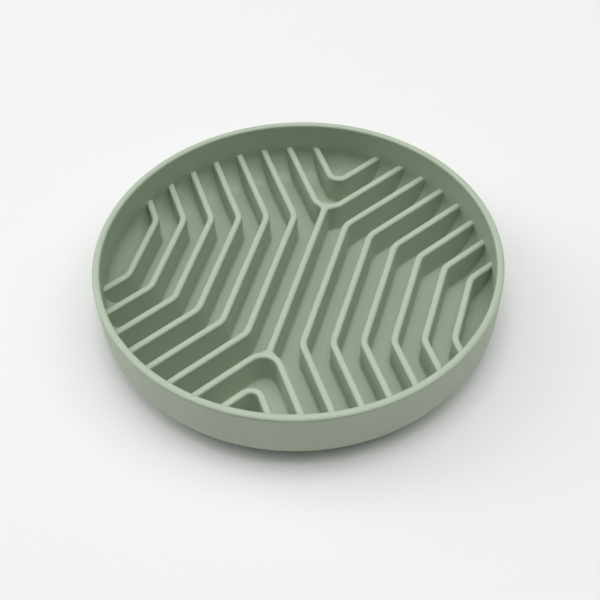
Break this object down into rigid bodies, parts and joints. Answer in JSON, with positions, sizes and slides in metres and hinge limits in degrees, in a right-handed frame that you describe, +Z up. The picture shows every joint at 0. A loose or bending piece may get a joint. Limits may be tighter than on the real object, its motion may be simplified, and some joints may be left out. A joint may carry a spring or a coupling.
{
  "type": "slow feeder bowl",
  "caption": "Round shallow slow feeder bowl whose maze tray, with mirrored branching ribs and a rolled rim, lifts out of an outer shell that stands on soft pads.",
  "frame": {"origin": "centre of the bowl on the ground plane, level with the undersides of the foot pads", "axes": "+Z up out of the bowl, +Y along the maze's stem, +X across the ribs beside the stem"},
  "size_m": [0.25, 0.25, 0.0456],
  "materials": {
    "tray_plastic": "matte sage green, fine satin grain",
    "shell_plastic": "matte sage green, fine satin grain",
    "pad_silicone": "soft pale grey silicone"
  },
  "bodies": {
    "shell": {"outer_shell": "shell_plastic", "foot_pad_1": "pad_silicone", "foot_pad_2": "pad_silicone", "foot_pad_3": "pad_silicone", "foot_pad_4": "pad_silicone", "foot_pad_5": "pad_silicone", "foot_pad_6": "pad_silicone"},
    "tray": {"maze_tray": "tray_plastic"}
  },
  "joints": [
    {"name": "tray_lift", "type": "slide", "parent": "shell", "child": "tray", "axis": [0, 0, 1], "range_m": [0, 0.06]}
  ]
}
